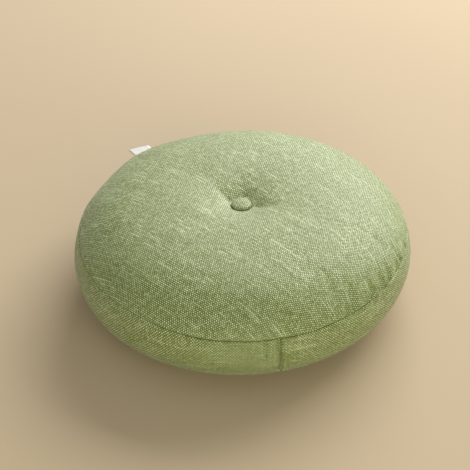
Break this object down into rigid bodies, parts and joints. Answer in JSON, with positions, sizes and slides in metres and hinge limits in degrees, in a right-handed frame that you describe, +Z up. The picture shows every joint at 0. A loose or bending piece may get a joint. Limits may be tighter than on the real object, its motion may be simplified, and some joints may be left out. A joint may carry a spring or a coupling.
{
  "type": "round seat cushion",
  "caption": "Round boxed seat cushion in green slub linen, domed top drawn in by a covered button, plain side band, flat where it rests.",
  "frame": {"origin": "middle of the flat underside, on the surface that the cushion rests on", "axes": "+Z up through the covered button, -Y towards the viewer of the picture, +X to the viewer's right"},
  "size_m": [0.4222, 0.4324, 0.1309],
  "materials": {
    "green_cloth": "matt plain-woven slub linen, sage green",
    "button_cloth": "the same linen, stretched over a button shell",
    "white_tape": "smooth white woven tape, bare"
  },
  "bodies": {
    "root": {"cushion": "green_cloth", "top_button": "button_cloth", "side_label": "white_tape"}
  },
  "joints": []
}
